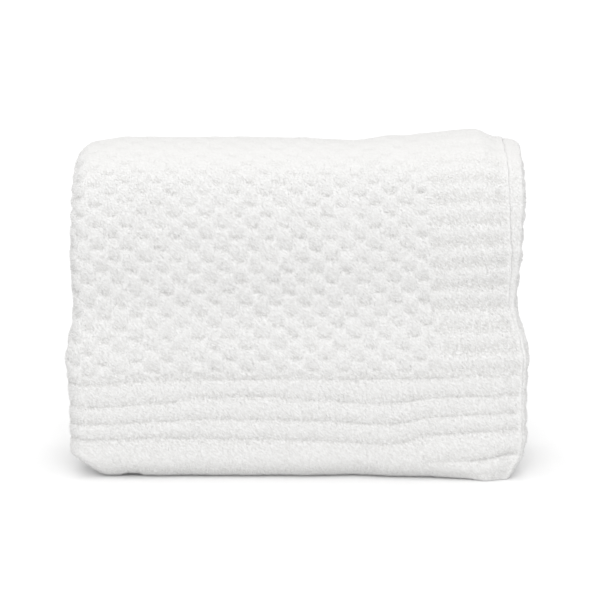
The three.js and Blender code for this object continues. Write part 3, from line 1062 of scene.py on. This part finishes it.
def build_pile():
    """Scatters the tufts, and makes them real before the floor stops any of their points."""
    tree, size = new_tree("chenille pile", PILE)
    points, normal = scattered(tree, size)
    way = tousled(tree, size, normal)
    turned = add_node(tree, "FunctionNodeAlignRotationToVector", {"Vector": way}, axis="Z")
    cone = {"Vertices": TUFT_SIDES, "Radius Top": 0.0, "Radius Bottom": size["Root"]}
    cone["Depth"] = size["Length"]
    tuft = add_node(tree, "GeometryNodeMeshCone", cone, fill_type="NGON")
    lengths = {2: SHORTEST, 3: LONGEST}
    length = add_node(tree, "FunctionNodeRandomValue", lengths, output=1, data_type="FLOAT")
    length = times(tree, length, mixed(tree, 1.0, size["Combed Length"], named(tree, "combed")))
    placed = {"Points": points, "Instance": tuft, "Rotation": turned, "Scale": length}
    tufts = add_node(tree, "GeometryNodeInstanceOnPoints", placed)
    real = add_node(tree, "GeometryNodeRealizeInstances", {"Geometry": tufts})
    end_tree(tree, kept_above_floor(tree, real), pile_finish)
    return tree


# %% Pile pieces
# Start and end along the path, and tufts to a square metre
STRETCHES = {
    "pile_hem": (0, LOW_END, 540000),
    "pile_front": (LOW_END, FRONT_END, 540000),
    "pile_top_front": (FRONT_END, TOP_MIDDLE, 500000),
    "pile_top_back": (TOP_MIDDLE, TOP_END, 350000),
    "pile_back": (TOP_END, BACK_END, 300000),
    "pile_inner_folds": (BACK_END, PATH_END, 380000),
}


def grow_piles():
    """One piece of pile for each stretch, each with a seed of its own."""
    tree = build_pile()
    piles = []
    for seed, (name, (start, end, tufts)) in enumerate(STRETCHES.items()):
        sizes = {"From": float(start), "To": float(end), "Tufts": float(tufts), "Seed": seed}
        pile = grown(throw, tree, name, **sizes)
        pile.data.materials.clear()
        pile.data.materials.append(pile_finish)
        piles.append(pile)
        print(name, len(pile.data.polygons), "faces")
    return piles


piles = grow_piles()

# %% [markdown]
# ## What each piece is in the frame
#
# The throw is one body. The fine skin stands for the plain solid, and the pile goes with it.

# %% Ride and replace
for piece in (throw, *piles):
    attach(piece, "root")
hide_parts(NODE)

# %% [markdown]
# ## The studio
#
# White on white needs soft light from all round and a floor that is brighter than the cloth. One
# wide soft light stands straight above, so that the lower side of each puff and rib is in shade,
# and a weaker one in front keeps that shade faint.

# %% Floor and light
FLOOR_COLOUR = (0.86, 0.86, 0.86, 1)
FLOOR_REACH = 12
SKY_STRENGTH = 0.8
# Each light: name, power, spread and height above the horizon in degrees
LIGHTS = (("overhead", 0.75, 60, 88), ("fill", 1.58, 50, 34))


def make_floor():
    reach = FLOOR_REACH
    corners = [(-reach, -reach, 0), (reach, -reach, 0), (reach, reach, 0), (-reach, reach, 0)]
    mesh = bpy.data.meshes.new("floor")
    mesh.from_pydata(corners, [], [(0, 1, 2, 3)])
    floor = bpy.data.objects.new("floor", mesh)
    bpy.context.scene.collection.objects.link(floor)
    material, _, shader = shaded("floor_finish", roughness=0.9, sheen=0.0)
    shader.inputs["Base Color"].default_value = FLOOR_COLOUR
    mesh.materials.append(material)


def make_sky():
    world = bpy.data.worlds.new("studio")
    world.use_nodes = True
    background = world.node_tree.nodes["Background"]
    background.inputs["Color"].default_value = (1, 1, 1, 1)
    background.inputs["Strength"].default_value = SKY_STRENGTH
    bpy.context.scene.world = world


def make_light(name, power, spread, height):
    data = bpy.data.lights.new(name, "SUN")
    data.energy = power
    data.angle = math.radians(spread)
    light = bpy.data.objects.new(name, data)
    to_light = Vector((0, -math.cos(math.radians(height)), math.sin(math.radians(height))))
    light.rotation_mode = "QUATERNION"
    light.rotation_quaternion = (-to_light).to_track_quat("-Z", "Y")
    bpy.context.scene.collection.objects.link(light)


make_floor()
make_sky()
for light in LIGHTS:
    make_light(*light)
bpy.context.scene.view_settings.view_transform = "Standard"
